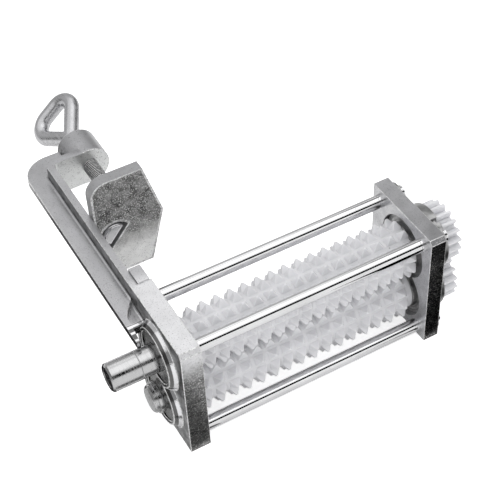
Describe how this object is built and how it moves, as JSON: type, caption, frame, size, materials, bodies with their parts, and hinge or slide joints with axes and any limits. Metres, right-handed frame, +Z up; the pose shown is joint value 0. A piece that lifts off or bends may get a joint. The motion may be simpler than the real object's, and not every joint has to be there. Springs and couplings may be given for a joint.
{
  "type": "hand cranked meat tenderizer",
  "caption": "Clamp-on meat tenderizer: two geared toothed rollers between side plates on tie rods, with a screw-driven jaw on an arm to grip a worktop.",
  "frame": {"origin": "on the ground plane, at the bottom centre of the overall box", "axes": "+Z up, with the object standing on both plates' bottoms as pictured; +X along the rollers from the crank stub to the gears; +Y from the feeding side to the clamp screw's loop"},
  "size_m": [0.2156, 0.2348, 0.1023],
  "materials": {
    "frame_casting": "satin cast, pale grey",
    "far_plate": "satin cast, pale grey",
    "housing": "dark grey, machined",
    "rod_chrome": "polished",
    "clip_steel": "plated",
    "shaft_steel": "polished",
    "roller_plastic": "moulded, slightly translucent",
    "bush_plastic": "dark, satin",
    "pin_steel": "ground",
    "gear_plastic": "moulded, white",
    "screw_steel": "plated",
    "jaw_casting": "dark satin cast, speckled"
  },
  "bodies": {
    "frame": {"near_frame": "frame_casting", "far_plate": "far_plate", "far_bearing_housing": "housing", "tie_rod_front_top": "rod_chrome", "tie_rod_rear_top": "rod_chrome", "tie_rod_front_bottom": "rod_chrome", "tie_rod_rear_bottom": "rod_chrome", "rod_clips": "clip_steel", "upper_near_bush": "bush_plastic", "lower_near_bush": "bush_plastic", "upper_far_bush": "bush_plastic", "lower_far_bush": "bush_plastic"},
    "upper_roller_set": {"upper_shaft": "shaft_steel", "upper_roller": "roller_plastic", "upper_roller_pin": "pin_steel", "upper_gear": "gear_plastic", "upper_gear_key": "pin_steel", "upper_gear_circlip": "clip_steel"},
    "lower_roller_set": {"lower_shaft": "shaft_steel", "lower_roller": "roller_plastic", "lower_roller_pin": "pin_steel", "lower_gear": "gear_plastic", "lower_gear_key": "pin_steel", "lower_gear_circlip": "clip_steel", "lower_thrust_collar": "clip_steel"},
    "jaw": {"clamp_jaw": "jaw_casting", "jaw_pins": "pin_steel", "jaw_stud": "screw_steel"},
    "clamp_screw": {"clamp_screw": "screw_steel"}
  },
  "joints": [
    {"name": "crank_spin", "type": "hinge", "parent": "frame", "child": "upper_roller_set", "pos_m": [0, -0.09087, 0.0555], "axis": [-1, 0, 0], "continuous": true},
    {"name": "lower_roller_spin", "type": "hinge", "parent": "frame", "child": "lower_roller_set", "pos_m": [0, -0.09087, 0.0237], "axis": [-1, 0, 0], "continuous": true},
    {"name": "jaw_slide", "type": "slide", "parent": "frame", "child": "jaw", "axis": [0, -1, 0], "range_m": [-0.0426, 0.0044]},
    {"name": "screw_spin", "type": "hinge", "parent": "jaw", "child": "clamp_screw", "pos_m": [-0.0501, 0.03263, 0.0675], "axis": [0, -1, 0], "range_deg": [-12270, 1268]}
  ],
  "couplings": [
    {"joint": "lower_roller_spin", "follows": "crank_spin", "ratio": -1},
    {"joint": "screw_spin", "follows": "jaw_slide", "rad_per_m": 5026.5}
  ]
}
